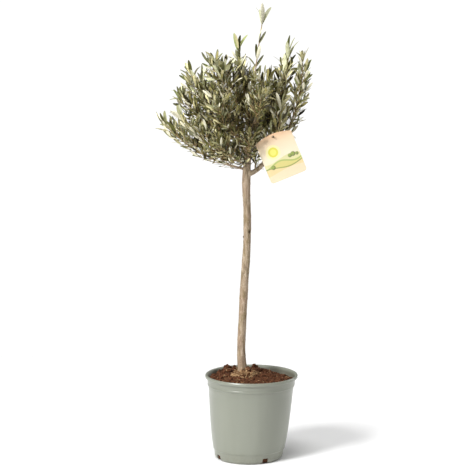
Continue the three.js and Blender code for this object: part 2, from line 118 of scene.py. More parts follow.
def lay_tints(tree, ground, layers):
    """Lays tints over a ground colour, each as strongly as its share says."""
    for share, colour in layers:
        ground = add(tree, "Mix", {0: share, 6: ground, 7: linear(colour)}, out=2, data_type="RGBA")
    return ground


def mesh_of(name, points, faces=(), lines=(), unit=MM):
    """A mesh from points in millimetres, or in another unit."""
    mesh = bpy.data.meshes.new(name)
    mesh.from_pydata([[value * unit for value in point] for point in points], lines, faces)
    return mesh


def facing_out(mesh):
    """Merges a closed mesh's doubles and turns its faces outwards."""
    shape = bmesh.new()
    shape.from_mesh(mesh)
    bmesh.ops.remove_doubles(shape, verts=shape.verts, dist=1e-6)
    bmesh.ops.recalc_face_normals(shape, faces=shape.faces)
    shape.to_mesh(mesh)
    shape.free()
    return mesh


def bands(rows, count, closed=True):
    """The faces between rows of as many points each, which follow one another, as rings or as open lines."""
    steps = range(count if closed else count - 1)
    edges = [(i * count + k, i * count + (k + 1) % count) for i in range(rows - 1) for k in steps]
    return [(a, b, b + count, a + count) for a, b in edges]


def level_ring(radius, height, sides):
    turns = np.arange(sides) * 2 * math.pi / sides
    return [(radius * math.cos(a), radius * math.sin(a), height) for a in turns]


def lathe(name, profile, segments):
    """Turns a profile of radius and height, whose two ends lie on the axis, round Z."""
    points = [point for radius, height in profile for point in level_ring(radius, height, segments)]
    return facing_out(mesh_of(name, points, bands(len(profile), segments)))


def box(name, corner_at, unit=MM):
    """A closed box, with each of its corners where a rule sets it by three signs."""
    corners = [corner_at(x, y, z) for x in (-1, 1) for y in (-1, 1) for z in (-1, 1)]
    faces = [(0, 1, 3, 2), (4, 6, 7, 5), (0, 4, 5, 1), (2, 3, 7, 6), (0, 2, 6, 4), (1, 5, 7, 3)]
    return facing_out(mesh_of(name, corners, faces, unit=unit))


def leaned(mesh):
    """Leans a mesh with the pot's wall."""
    across = (1, 0, POT_LEAN, -POT_LEAN * LEAN_PIVOT * MM)
    mesh.transform(Matrix((across, (0, 1, 0, 0), (0, 0, 1, 0), (0, 0, 0, 1))))
    return mesh


def new_object(name, data, *materials):
    piece = bpy.data.objects.new(name, data)
    bpy.context.scene.collection.objects.link(piece)
    for material in materials:
        data.materials.append(material)
    return piece


def bake(piece):
    """Applies a piece's modifiers, which leaves it with a plain mesh."""
    evaluated = piece.evaluated_get(bpy.context.evaluated_depsgraph_get())
    mesh = bpy.data.meshes.new_from_object(evaluated)
    piece.modifiers.clear()
    piece.data = mesh


def smooth(mesh):
    """Shades a mesh smooth but for its sharp edges."""
    mesh.shade_smooth()
    mesh.set_sharp_from_angle(angle=SHARP_ANGLE)


def settle(piece, slot, *nodes):
    """A finished piece rides on the plant's one body and stands for its CAD nodes; its slot is not used."""
    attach(piece, "root")
    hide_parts(*nodes)


def wall_radius(height):
    """The wall's radius, a little fuller halfway up as it came off its core."""
    share = (height - WALL_FOOT) / (COLLAR_FOOT - WALL_FOOT)
    bulge = WALL_BULGE * math.sin(math.pi * min(1, max(0, share)) ** 0.75)
    return WALL_FOOT_RADIUS + (WALL_TOP_RADIUS - WALL_FOOT_RADIUS) * share + bulge


inner_wall = [
    (wall_radius(COLLAR_FOOT) - WALL_THICKNESS, COLLAR_FOOT),
    (WALL_FOOT_RADIUS - WALL_THICKNESS, WALL_FOOT),
    (FOOT_RADIUS - 1, FLOOR_THICKNESS),
]
pot_profile = [
    *FOOT_HOLLOW,
    *[(FOOT_RADIUS + x, z) for x, z in FOOT_ROUND],
    (WALL_FOOT_RADIUS, WALL_FOOT),
    *[(wall_radius(height), height) for height in np.linspace(30, GROOVE_HEIGHT - 1.2, 12)],
    (wall_radius(GROOVE_HEIGHT) + 0.45, GROOVE_HEIGHT),
    *[(WALL_TOP_RADIUS + x, COLLAR_FOOT + z) for x, z in COLLAR_STEP],
    *[(LIP_RADIUS + x, POT_HEIGHT + z) for x, z in LIP_OUTSIDE + LIP_INSIDE],
    *inner_wall,
    (0, FLOOR_THICKNESS),
]

# Polypropylene, moulded: an even satin skin with the fine grain of the spark-eroded mould, faint upright flow
# lines in the pigment, and a film of brown dust where the foot holds it.
plastic, tree, place = new_material("moulded_polypropylene")
flow = add(tree, "Mapping", {"Vector": place, "Scale": (1, 1, 0.08)})
cloud = add(tree, "TexNoise", {"Vector": flow, "Scale": 45, "Detail": 1})
pigment = add(tree, "ValToRGB", {0: cloud}, stops=[(0.3, "#808376"), (0.7, "#84877a")])
height = add(tree, "SeparateXYZ", {0: place}, out="Z")
low = add(tree, "MapRange", {0: height, 1: 0.0, 2: 0.03, 3: 0.34, 4: 0.0})
speck = add(tree, "TexNoise", {"Vector": place, "Scale": 210, "Detail": 5, "Roughness": 0.7})
patch = add(tree, "MapRange", {0: speck, 1: 0.42, 2: 0.7})
dust = add(tree, "Math", {0: low, 1: patch}, operation="MULTIPLY")
# Inside, where the wall faces the pot's axis, it is darkened below the lip: painted shade in the pot's
# hollow.
from_axis = add(tree, "VectorMath", {0: place, 1: (1, 1, 0)}, operation="MULTIPLY")
facing = add(tree, "NewGeometry", out="Normal")
outward = add(tree, "VectorMath", {0: from_axis, 1: facing}, out="Value", operation="DOT_PRODUCT")
within = add(tree, "MapRange", {0: outward, 1: -0.02, 2: -0.05, 3: 0, 4: 1})
under_lip = add(tree, "MapRange", {0: height, 1: 0.1735, 2: 0.168, 3: 0, 4: 0.8})
painted_inner_shade = add(tree, "Math", {0: within, 1: under_lip}, operation="MULTIPLY")
# The second tint is the painted shade on the inner wall below the lip.
skin = lay_tints(tree, pigment, [(dust, "#6b5a45"), (painted_inner_shade, "#565243")])
# The mould's grain is about 0.3 mm across; it is drawn at 0.8 mm so that it shows.
grain = add(tree, "TexNoise", {"Vector": place, "Scale": 1250, "Detail": 2})
bump = add(tree, "Bump", {"Height": grain, "Strength": 0.12, "Distance": 0.0002})
worn = add(tree, "MapRange", {0: speck, 3: 0.26, 4: 0.32})
dulled = add(tree, "Math", {0: within, 1: 0.4, 2: worn}, operation="MULTIPLY_ADD")
set_shader(tree, base_color=skin, roughness=dulled, normal=bump, ior=1.49, specular_ior_level=0.7)

pot = new_object("nursery_pot", lathe("nursery_pot", pot_profile, POT_SEGMENTS), plastic)
notches = []
for azimuth in DRAIN_AZIMUTHS:
    notch = box(
        "notch",
        lambda x, y, z: (
            FOOT_RADIUS + 3 + x * DRAIN_DEPTH,
            y * DRAIN_WIDTH / 2 * (1 - 0.12 * max(z, 0)),
            z * DRAIN_HEIGHT,
        ),
    )
    notch.transform(Matrix.Rotation(math.radians(azimuth), 4, "Z"))
    notches.append(new_object("notch", notch))
    pot.modifiers.new("drain", "BOOLEAN").object = notches[-1]
edges = pot.modifiers.new("edges", "BEVEL")
edges.width = 0.5 * MM
edges.segments = 3
edges.limit_method = "ANGLE"
edges.angle_limit = math.radians(24)
bake(pot)
for notch in notches:
    bpy.data.objects.remove(notch)
leaned(pot.data)
smooth(pot.data)
settle(pot, "pot", "pot")

# Trunk and limbs: the living wood of a young olive, a slim stem that was tied to a cane and let go. Its bark
# is thin and grey-beige, with long shallow fissures, rings where leaf pairs stood and scars where side shoots
# were pruned. All limbs are grown into one skin with the first roots, so that each fork has its fillet.
SOIL_AT_TRUNK = 171
TRUNK_HEAD = 642
STEM_COURSE = [
    # offset along X, offset along Y, height
    (-14, 0, SOIL_AT_TRUNK - 8),
    (-18, 1, 221),
    (-15.5, 2, 288),
    (-12, 1, 359),
    (-6.5, -2, 447),
    (-6, -1, 508),
    (-8, 2, 570),
    (-4, 1, TRUNK_HEAD),
    (1.5, 3, 705),
    (8, 0, 782),
]
TRUNK_FOOT_RADIUS = 8.4
TRUNK_HEAD_RADIUS = 7
LEADER_TIP_RADIUS = 2.6
LEADER_HEAD = 775
FLARE = 3.2
FLARE_HEIGHT = 13
ROOT_LOBES = 4
FIRST_ROOTS = ((-38, 17), (-96, 14), (-158, 18), (24, 15), (102, 16))  # azimuth, reach
ELBOW = np.array((25.5, -8, 611))
ARM_ROOT = 590
ARM_ROOT_RADIUS = 5.2
ARM_TIP_RADIUS = 4.4
ARM_SWELL = 1.6
ARM_SWELL_SPAN = 0.22
ARM_SAG = 8
UP = np.array((0, 0, 1.0))


def unit(vector):
    return vector / np.linalg.norm(vector)


def mix(a, b, share):
    return a + (b - a) * share


def spoke(azimuth, lift=0):
    """A level direction by its azimuth in degrees, lifted by a share of its length."""
    return np.array((math.cos(math.radians(azimuth)), math.sin(math.radians(azimuth)), lift))


def swung(start, goal, angle):
    """A direction swung by an angle from one direction towards another that is square to it."""
    return start * math.cos(angle) + goal * math.sin(angle)


def side_of(heading, turn):
    """A direction square to a heading, turned round it by an angle."""
    level = np.cross(heading, UP)
    level = unit(level) if np.linalg.norm(level) > 0.5e-3 else np.array((1.0, 0, 0))
    return swung(level, np.cross(heading, level), turn)


def centripetal(points, steps):
    """A centripetal Catmull-Rom curve through points, as a row of points."""
    points = np.array(points, float)
    ends = [2 * points[0] - points[1], *points, 2 * points[-1] - points[-2]]
    row = []
    t = np.arange(steps)[:, None] / steps
    for a, b, c, d in zip(ends, ends[1:], ends[2:], ends[3:]):
        first, middle, last = [np.linalg.norm(q - p) ** 0.5 for p, q in ((a, b), (b, c), (c, d))]
        start = ((b - a) / first - (c - a) / (first + middle) + (c - b) / middle) * middle
        end = ((c - b) / middle - (d - b) / (middle + last) + (d - c) / last) * middle
        out, back = (t**3 - 2 * t**2 + t) * start, (t**3 - t**2) * end
        row.append((2 * t**3 - 3 * t**2 + 1) * b + out + (3 * t**2 - 2 * t**3) * c + back)
    return np.concatenate([*row, points[-1:]])


def bezier(root, control, tip, steps=60):
    t = np.linspace(0, 1, steps + 1)[:, None]
    return (1 - t) ** 2 * root + 2 * t * (1 - t) * control + t**2 * tip


def along(row, shares):
    """Points of a row at shares of its length."""
    lengths = np.concatenate([[0], np.cumsum(np.linalg.norm(np.diff(row, axis=0), axis=1))])
    wanted = np.asarray(shares) * lengths[-1]
    return np.stack([np.interp(wanted, lengths, row[:, axis]) for axis in range(3)], axis=-1)


def length_of(row):
    return np.linalg.norm(np.diff(row, axis=0), axis=1).sum()


stem_row = centripetal(STEM_COURSE, 60)


def stem_at(height):
    """The stem's middle at a height, or at each of a row of heights."""
    return np.stack([np.interp(height, stem_row[:, 2], stem_row[:, axis]) for axis in range(3)], axis=-1)


def tube(row, radius_at, sides):
    """The points and faces of a closed round limb along a row, with the radius by share and turn."""
    headings = np.gradient(row, axis=0)
    side = side_of(unit(headings[0]), 0)
    points = []
    for i, (centre, heading) in enumerate(zip(row, headings)):
        heading = unit(heading)
        side = unit(side - heading * side.dot(heading))
        for k in range(sides):
            turn = 2 * math.pi * k / sides
            out = swung(side, np.cross(heading, side), turn)
            points.append(centre + radius_at(i / (len(row) - 1), turn) * out)
    caps = [list(range(sides))[::-1], list(range(len(points) - sides, len(points)))]
    return points, bands(len(row), sides) + caps


def joined(parts):
    """The points and faces, or lines, of a row of parts, as those of one mesh."""
    points, faces = [], []
    for part_points, part_faces in parts:
        faces += [[v + len(points) for v in face] for face in part_faces]
        points += list(part_points)
    return points, faces


# Each spray of the crown grows from its root on the stem or the elbow, sets off at an angle of rise and
# curves up to a tip that is given by azimuth, reach and height. Bare is the share of it that is bough.
CROWN_AXIS = np.array((-5.0, 0, 0))
SPRAYS = [
    # name, root, azimuth, reach, top, rise, bare, spread of its side shoots, leaf length, seed
    ("low_left", stem_at(600), 182, 163, 686, 10, 0.3, 36, 36, 9),
    ("left_under", stem_at(616), 197, 138, 704, 16, 0.2, 29, 33, 26),
    ("left", stem_at(640), 173, 134, 744, 18, 0.2, 47, 33, 35),
    ("upper_left", stem_at(664), 170, 116, 790, 30, 0.18, 41, 33, 27),
    ("top_left", stem_at(690), 200, 66, 810, 50, 0.18, 45, 33, 6),
    ("top_middle", stem_at(716), 164, 20, 838, 66, 0.18, 18, 33, 128),
    ("leader", stem_at(768), 4, 29, 897, 84, 0.08, 0, 38, 7),
    ("top_right", stem_at(704), -36, 50, 776, 46, 0.18, 56, 33, 119),
    ("right_tall", ELBOW, 8, 84, 834, 72, 0.22, 32, 33, 125),
    ("far_right", ELBOW, 2, 111, 816, 44, 0.36, 24, 33, 26),
    ("right_under", ELBOW, -34, 80, 722, 44, 0.34, 31, 33, 119),
    ("front_left", stem_at(650), 234, 112, 742, 24, 0.2, 62, 25, 107),
    ("front_right", stem_at(676), -72, 92, 756, 30, 0.2, 42, 25, 105),
    ("front_low", stem_at(612), 232, 90, 662, 8, 0.2, 56, 25, 3),
    ("front_under", stem_at(622), 272, 74, 676, 14, 0.2, 28, 25, 129),
    ("back_left", stem_at(644), 132, 116, 740, 24, 0.2, 64, 36, 35),
    ("back_right", stem_at(656), 54, 110, 750, 26, 0.2, 31, 36, 116),
    ("back_top", stem_at(684), 98, 74, 792, 44, 0.18, 41, 32, 114),
    ("back_low", stem_at(628), 74, 98, 684, 16, 0.2, 30, 34, 33),
    ("back_under", stem_at(610), 138, 100, 668, 8, 0.24, 34, 34, 130),
]
SPRAY_NAMES = [spray[0] for spray in SPRAYS]
BRANCH_TAPER = 0.0075
BRANCH_SWELL = 1.4  # at its root
BARK_REACH = 0.5  # the share of a branch up to which it wears the trunk's bark
TWIG_RADIUS = 1.3
CARD_HANG = np.array((45.5, -48, 672))
HANGER_RADIUS = 1.6
HANGER_ROOT_RADIUS = 2.4
BARK_SWELL = 0.4
SWELLING = 0.35
RING_RISE = 0.4
RING_WIDTH = 2.2
RING_HEIGHTS = [214, 247, 271, 301, 334, 352, 389, 411, 452, 478, 505, 528, 546, 571, 596, 622]
ARM_COLLAR = 0.9
ARM_COLLAR_SPAN = 26
SCARS = [
    # height, azimuth, radius, how far it stands out
    (472, -52, 2.6, 0.7),
    (460, 186, 2.6, 1.4),
    (388, 120, 2.4, 0.9),
    (329, -150, 2.6, 1.0),
    (536, 60, 3.0, 1.2),
    (262, 20, 2.2, 0.8),
    (566, 250, 2.2, 0.8),
]
BROWN_SCARS = SCARS[:3]


def branch_row(root, azimuth, reach, top, rise):
    tip = CROWN_AXIS + spoke(azimuth) * reach + UP * top
    level = unit((tip - root) * (1, 1, 0))
    return bezier(root, root + swung(level, UP, math.radians(rise)) * 0.5 * np.linalg.norm(tip - root), tip)


def branch_radius(name, span, share):
    taper = BRANCH_TAPER * (0.5 if name == "leader" else 1)
    return TWIG_RADIUS * 0.85 + taper * span * (1 - share)


def trunk_radius(height, turn):
    """The trunk's radius with its root flare, slow swellings, rings and the collar below the side arm."""
    share = (height - SOIL_AT_TRUNK) / (TRUNK_HEAD - SOIL_AT_TRUNK)
    flare = FLARE * math.exp(-max(0, height - SOIL_AT_TRUNK) / FLARE_HEIGHT)
    swelling = SWELLING * math.sin(height / 17) * math.sin(height / 41)
    ring = sum(RING_RISE * math.exp(-(((height - at) / RING_WIDTH) ** 2)) for at in RING_HEIGHTS)
    lobes = 1 + 0.35 * math.cos(ROOT_LOBES * turn + 0.6)
    collar = ARM_COLLAR * math.exp(-(((height - ARM_ROOT + 5) / ARM_COLLAR_SPAN) ** 2))
    core = mix(TRUNK_FOOT_RADIUS, TRUNK_HEAD_RADIUS, share) + BARK_SWELL
    return core + swelling + ring + collar + flare * lobes


def arm_radius(share, turn):
    return mix(ARM_ROOT_RADIUS, ARM_TIP_RADIUS, share) + ARM_SWELL * math.exp(-share / ARM_SWELL_SPAN)


branches = [branch_row(*spray[1:6]) for spray in SPRAYS]
foot, head = SOIL_AT_TRUNK - 7, TRUNK_HEAD + 4
limbs = [tube(stem_at(np.linspace(foot, head, 260)), lambda s, a: trunk_radius(mix(foot, head, s), a), 40)]
leader = stem_at(np.linspace(TRUNK_HEAD, LEADER_HEAD + 3, 60))
limbs.append(tube(leader, lambda s, a: mix(TRUNK_HEAD_RADIUS, LEADER_TIP_RADIUS, s), 24))
arm_root = stem_at(ARM_ROOT)
arm = bezier(arm_root, mix(arm_root, ELBOW, 0.5) - UP * ARM_SAG, ELBOW)
limbs.append(tube(arm, arm_radius, 24))
elbow_knot = np.array([ELBOW - (1.5, 0, 1.5), ELBOW, ELBOW + (1, 0, 3), ELBOW + (1, 0, 5)])
limbs.append(tube(elbow_knot, lambda s, a: ARM_TIP_RADIUS + 0.5 - 1.6 * s, 16))
for name, row in zip(SPRAY_NAMES, branches):
    span, shares = length_of(row), np.linspace(0, 1, 40)
    radii = branch_radius(name, span, BARK_REACH * shares) + BRANCH_SWELL * np.exp(-shares / 0.07)
    limbs.append(tube(along(row, BARK_REACH * shares), lambda s, a: np.interp(s, shares, radii), 14))
hanger_points = [ELBOW, ELBOW + (6, 4, 22), CARD_HANG + (0, 14, 0), CARD_HANG, CARD_HANG - (0, 8, 0)]
hanger = centripetal(hanger_points, 16)
limbs.append(tube(hanger, lambda s, a: mix(HANGER_ROOT_RADIUS, HANGER_RADIUS, s), 12))
for azimuth, reach in FIRST_ROOTS:
    out = spoke(azimuth)
    root = bezier(stem_at(183) + 3 * out, stem_at(178) + 0.7 * reach * out, stem_at(167) + reach * out, 12)
    limbs.append(tube(root, lambda s, a: mix(4.2, 2, s), 10))
for height, azimuth, radius, stand in SCARS:
    out = spoke(azimuth, 0.25)
    middle = stem_at(height) + out * (trunk_radius(height, math.radians(azimuth)) + stand - radius)
    stub = [middle - out * 2, middle, middle + out * 0.6 * radius, middle + out * radius]
    limbs.append(tube(np.array(stub), lambda s, a: radius * (1 - 0.55 * s**2), 12))

wood = new_object("olive_bark", facing_out(mesh_of("olive_bark", *joined(limbs))))
skin = wood.modifiers.new("skin", "REMESH")
skin.mode = "VOXEL"
skin.voxel_size = 0.75 * MM
fillet = wood.modifiers.new("fillet", "SMOOTH")
fillet.factor = 0.5
fillet.iterations = 4
bake(wood)


def geometry_tree(name, inputs):
    """A Geometry Nodes tree with a geometry in and out, and what gives the values of its named inputs."""
    tree = bpy.data.node_groups.new(name, "GeometryNodeTree")
    tree.interface.new_socket("Geometry", in_out="OUTPUT", socket_type="NodeSocketGeometry")
    for title, kind in {"Geometry": "Geometry", **inputs}.items():
        tree.interface.new_socket(title, in_out="INPUT", socket_type="NodeSocket" + kind)
    return tree, add(tree, "GroupInput", out=None).outputs


def grow(piece, tree, values):
    """Runs a Geometry Nodes tree on a piece with its named inputs, which leaves a plain mesh."""
    modifier = piece.modifiers.new(tree.name, "NODES")
    modifier.node_group = tree
    for item in tree.interface.items_tree:
        if item.in_out == "INPUT" and item.name in values:
            modifier[item.identifier] = values[item.name]
    bake(piece)


def end_tree(tree, whole, finishes):
    """Makes a tree's instances real and gives them each finish where it is wanted."""
    whole = add(tree, "RealizeInstances", {0: whole})
    for finish, wanted in finishes:
        whole = add(tree, "SetMaterial", {"Geometry": whole, "Selection": wanted, "Material": finish})
    add(tree, "GroupOutput", {"Geometry": whole})


# The relief is raised by Geometry Nodes: long fissures with a wandering course, and fine plates between them.
measures = {"Fissure depth": "Float", "Plate depth": "Float", "Fissure width": "Float"}
relief, given = geometry_tree("bark_relief", measures)
spot = add(relief, "InputPosition")
drawn = add(relief, "VectorMath", {0: spot, 1: (1, 1, 0.16)}, operation="MULTIPLY")
fineness = add(relief, "Math", {0: 1.0, 1: given["Fissure width"]}, operation="DIVIDE")
wandering = {"Vector": drawn, "Scale": fineness, "Detail": 3, "Roughness": 0.6, "Distortion": 0.4}
fissure = add(relief, "TexNoise", wandering)
plate = add(relief, "TexNoise", {"Vector": spot, "Scale": 420, "Detail": 3})
lift = 0.0
for field, depth in ((fissure, "Fissure depth"), (plate, "Plate depth")):
    centred = add(relief, "Math", {0: field, 1: 0.5}, operation="SUBTRACT")
    lift = add(relief, "Math", {0: centred, 1: given[depth], 2: lift}, operation="MULTIPLY_ADD")
offset = add(relief, "VectorMath", {0: add(relief, "InputNormal"), "Scale": lift}, operation="SCALE")
moved = add(relief, "SetPosition", {"Geometry": given["Geometry"], "Offset": offset})
add(relief, "GroupOutput", {"Geometry": add(relief, "SetShadeSmooth", {"Geometry": moved})})
grow(wood, relief, {"Fissure depth": 0.55 * MM, "Plate depth": 0.25 * MM, "Fissure width": 3.2 * MM})


def round_spot(tree, place, middle, radius, edge, strength):
    """How strongly a round spot with a soft edge shows."""
    gap = add(tree, "VectorMath", {0: place, 1: middle}, out="Value", operation="DISTANCE")
    return add(tree, "MapRange", {0: gap, 1: radius, 2: radius + edge, 3: strength, 4: 0})


# Young olive bark: matt grey-beige cork, warmer in some stretches and with a thin olive film of algae in
# others, with dark fissures, small pale lenticels and brown scars where shoots were cut.
bark, tree, place = new_material("young_olive_bark")
drawn = add(tree, "Mapping", {"Vector": place, "Scale": (1, 1, 0.14)})
streak = add(tree, "TexNoise", {"Vector": drawn, "Scale": 330, "Detail": 5, "Roughness": 0.65})
surface = add(tree, "ValToRGB", {0: streak}, stops=[(0.3, "#6c5e4b"), (0.7, "#c4b49e"), (0.5, "#a4927a")])
stretch = add(tree, "TexNoise", {"Vector": place, "Scale": 24, "Detail": 3})
warmth = add(tree, "MapRange", {0: stretch, 1: 0.42, 2: 0.68, 3: 0, 4: 0.45})
long = add(tree, "Mapping", {"Vector": place, "Scale": (1, 1, 0.3)})
film = add(tree, "TexNoise", {"Vector": long, "Scale": 130, "Detail": 2})
green = add(tree, "MapRange", {0: film, 1: 0.52, 2: 0.64, 3: 0, 4: 0.6})
dots = add(tree, "TexVoronoi", {"Vector": place, "Scale": 210})
lenticel = add(tree, "MapRange", {0: dots, 1: 0.1, 2: 0.24, 3: 0.55, 4: 0})
layers = [(warmth, "#a38573"), (green, "#7d6d4a"), (lenticel, "#c9beac")]
for height, azimuth, radius, stand in BROWN_SCARS:
    middle = stem_at(height) + spoke(azimuth, 0.1) * (trunk_radius(height, math.radians(azimuth)) + stand)
    scar = round_spot(tree, place, tuple(middle * MM), 0.8 * radius * MM, 0.9 * radius * MM, 0.9)
    layers.append((scar, "#3b2b1a"))
surface = lay_tints(tree, surface, layers)
bump = add(tree, "Bump", {"Height": streak, "Strength": 0.5, "Distance": 0.0006})
set_shader(tree, base_color=surface, roughness=0.86, normal=bump, specular_ior_level=0.25)
wood.data.materials.clear()
wood.data.materials.append(bark)
bough_nodes = ["bough_" + name for name in SPRAY_NAMES]
settle(wood, "bark", "trunk", "leading_limb", "side_arm", "label_twig", *bough_nodes)

# Compost: moist peat with composted bark, filled nearly to the lip at the left and the front and sunk at the
# right and the back, with clods heaped at the back and the root ball's fibres round the stem.
SOIL_AT_WALL = 164
SOIL_TILT = 4.5
SOIL_HIGH_SIDE = math.radians(235)
SOIL_EDGE = 87.5
SOIL_TURNS = 220
SOIL_RINGS = 90
LOWEST_SOIL = 156.5
SEAT_RADIUS = 20
LUMP = 1.7
CRUMBLE = 4.8
CRUMBLE_SPAN = 9
HEAPS = [
    # across, back, height, width
    (0, -2, 17, 18),
    (11, -9, 4, 6),
    (-13, 4, 4, 7),
    (-50, 54, 12, 16),
    (-47, 60, 6, 6),
    (-30, 62, 9, 8),
    (8, 66, 15, 7),
    (24, 54, 8, 15),
    (46, 34, 4, 12),
    (-62, -12, 4, 12),
    (4, -32, -9, 9),
    (17, -30, -6, 8),
    (-20, -44, 3, 9),
]
STREWN_REACH = 83.5
ROOT_MAT_REACH = 25
trunk_foot = tuple(stem_at(SOIL_AT_TRUNK))


def soil_point(radius, turn):
    """A point of the compost's top, which is calm at the wall and most broken between it and the stem."""
    x, y = radius * math.cos(turn), radius * math.sin(turn)
    inward = 1 - radius / SOIL_EDGE
    outward = max(0, (radius - SEAT_RADIUS) / (SOIL_EDGE - SEAT_RADIUS))
    at_wall = SOIL_AT_WALL + SOIL_TILT * math.cos(turn - SOIL_HIGH_SIDE)
    lump = LUMP * (math.sin(x / 6.1 + 1.3) * math.cos(y / 7.3) + 0.7 * math.sin(y / 4.7 + x / 9.7))
    crumb = CRUMBLE * noise.fractal(Vector((x, y, 0)) / CRUMBLE_SPAN, 0.7, 2.2, 5)
    heap = sum(h * math.exp(-((x - a) ** 2 + (y - b) ** 2) / w**2) for a, b, h, w in HEAPS)
    rise = lump * min(1, 4 * outward) + crumb * min(1, 0.4 + outward) + heap
    level = mix(SOIL_AT_TRUNK, at_wall, outward) + rise * min(1, (SOIL_EDGE - radius) / 4)
    return x + trunk_foot[0] * inward, y + trunk_foot[1] * inward, max(LOWEST_SOIL, level)


soil_turns = np.arange(SOIL_TURNS) * 2 * math.pi / SOIL_TURNS
points = [(*trunk_foot[:2], SOIL_AT_TRUNK)]
for radius in np.linspace(1.2, SOIL_EDGE, SOIL_RINGS):
    points += [soil_point(radius, a) for a in soil_turns]
top_count = len(points)
for radius, height in ((inner_wall[0][0], COLLAR_FOOT - 2), *inner_wall[1:]):
    points += level_ring(radius, height, SOIL_TURNS)
last = len(points) - SOIL_TURNS
points.append((0, 0, FLOOR_THICKNESS))
faces = []
for k in range(SOIL_TURNS):
    j = (k + 1) % SOIL_TURNS
    faces.append((0, 1 + k, 1 + j))
    faces += [(a + k, a + k + SOIL_TURNS, a + j + SOIL_TURNS, a + j) for a in range(1, last, SOIL_TURNS)]
    faces.append((last + k, len(points) - 1, last + j))
soil_mesh = leaned(facing_out(mesh_of("compost_body", points, faces)))


def bed_round(name, centre, reach):
    """The part of the compost's top that lies within reach of a place."""
    top = [face for face in faces if max(face) < top_count]
    near = [face for face in top if math.dist(points[face[0]][:2], centre) < reach]
    return leaned(facing_out(mesh_of(name, points[:top_count], near)))


ground = bed_round("ground", (0, 0), STREWN_REACH)
root_seat = bed_round("root_seat", trunk_foot[:2], ROOT_MAT_REACH)

# Moist peat: almost black in its pores, red-brown on its dry crumbs, matt all over.
peat, tree, place = new_material("moist_peat")
crumbs = add(tree, "TexNoise", {"Vector": place, "Scale": 260, "Detail": 6, "Roughness": 0.7})
brown = add(tree, "ValToRGB", {0: crumbs}, stops=[(0.32, "#20120b"), (0.75, "#8c5d42"), (0.52, "#54331f")])
bump = add(tree, "Bump", {"Height": crumbs, "Strength": 0.8, "Distance": 0.0015})
set_shader(tree, base_color=brown, roughness=0.95, normal=bump, specular_ior_level=0.2)
compost = new_object("compost_body", soil_mesh, peat)
compost.data.shade_smooth()
settle(compost, "compost", "compost")


def mottled(name, scale, detail, stops, **values):
    """A material whose colour wavers between two tints."""
    material, tree, place = new_material(name)
    waver = add(tree, "TexNoise", {"Vector": place, "Scale": scale, "Detail": detail})
    set_shader(tree, base_color=add(tree, "ValToRGB", {0: waver}, stops=stops), **values)
    return material


# Dry wood fibre and bark chips: tan with darker grain, the lightest things in the pot.
tans = [(0.3, "#7b5a3c"), (0.7, "#c7a67c")]
fibre = mottled("dry_wood_fibre", 190, 4, tans, roughness=0.9, specular_ior_level=0.2)


def crumb_form(seed, flat):
    """A crumb of compost: a ball of about one unit with a broken surface."""
    shape = bmesh.new()
    bmesh.ops.create_uvsphere(shape, u_segments=8, v_segments=5, radius=1)
    for v in shape.verts:
        v.co *= 1 + 0.45 * noise.noise(v.co * 1.4 + Vector((seed * 7.0, 0, 0)))
        v.co.z *= flat
    mesh = bpy.data.meshes.new("crumb")
    shape.to_mesh(mesh)
    shape.free()
    return mesh


# What lies on the compost is strewn by one tree, from a form, a density, a size range and a seed.
numbers = {"Density": "Float", "Least size": "Float", "Greatest size": "Float", "Seed": "Int"}
strewn, given = geometry_tree("strewn", {"Form": "Object", "Finish": "Material", **numbers})
bed = {"Mesh": given["Geometry"], "Density": given["Density"], "Seed": given["Seed"]}
spins = {0: (-0.5, -0.5, 0), 1: (0.5, 0.5, 6.28), "Seed": given["Seed"]}
sizes = {2: given["Least size"], 3: given["Greatest size"], "Seed": given["Seed"]}
laid = add(
    strewn,
    "InstanceOnPoints",
    {
        "Points": add(strewn, "DistributePointsOnFaces", bed),
        "Instance": add(strewn, "ObjectInfo", {"Object": given["Form"]}, out="Geometry"),
        "Rotation": add(strewn, "RandomValue", spins, data_type="FLOAT_VECTOR"),
        "Scale": add(strewn, "RandomValue", sizes, out=1, data_type="FLOAT"),
    },
)
end_tree(strewn, add(strewn, "SetShadeSmooth", {"Geometry": laid}), [(given["Finish"], True)])

chip_mesh = box("chip", lambda x, y, z: (x, y * 0.42, z * 0.16), unit=1)
t = np.linspace(-1, 1, 9)
strand_row = np.stack([t, 0.16 * np.sin(3.2 * t), 0.05 + 0.12 * np.cos(2.5 * t)], axis=1)
strand_mesh = facing_out(mesh_of("strand", *tube(strand_row, lambda s, a: 0.05 * (1.2 - s), 4), unit=1))
for name, bed, mesh, finish, density, least, greatest, seed in (
    ("peat_crumbs", ground, crumb_form(1, 0.8), peat, 50000.0, 0.7, 2.6, 3),
    ("peat_clods", ground, crumb_form(2, 0.75), peat, 14000.0, 2.4, 6, 4),
    ("wood_chips", ground, chip_mesh, fibre, 2600.0, 1.2, 4.6, 5),
    ("root_fibres", ground, strand_mesh, fibre, 4000.0, 4, 10, 6),
    ("root_crumbs", root_seat, crumb_form(3, 0.8), fibre, 120000.0, 0.8, 3.2, 7),
    ("root_mat", root_seat, strand_mesh, fibre, 130000.0, 4, 10, 8),
):
    form = new_object(name + "_form", mesh)
    pieces = new_object(name, bed.copy())
    numbers = {"Density": density, "Least size": least * MM, "Greatest size": greatest * MM, "Seed": seed}
    grow(pieces, strewn, {"Form": form, "Finish": finish, **numbers})
    bpy.data.objects.remove(form)
    settle(pieces, "compost", "compost")

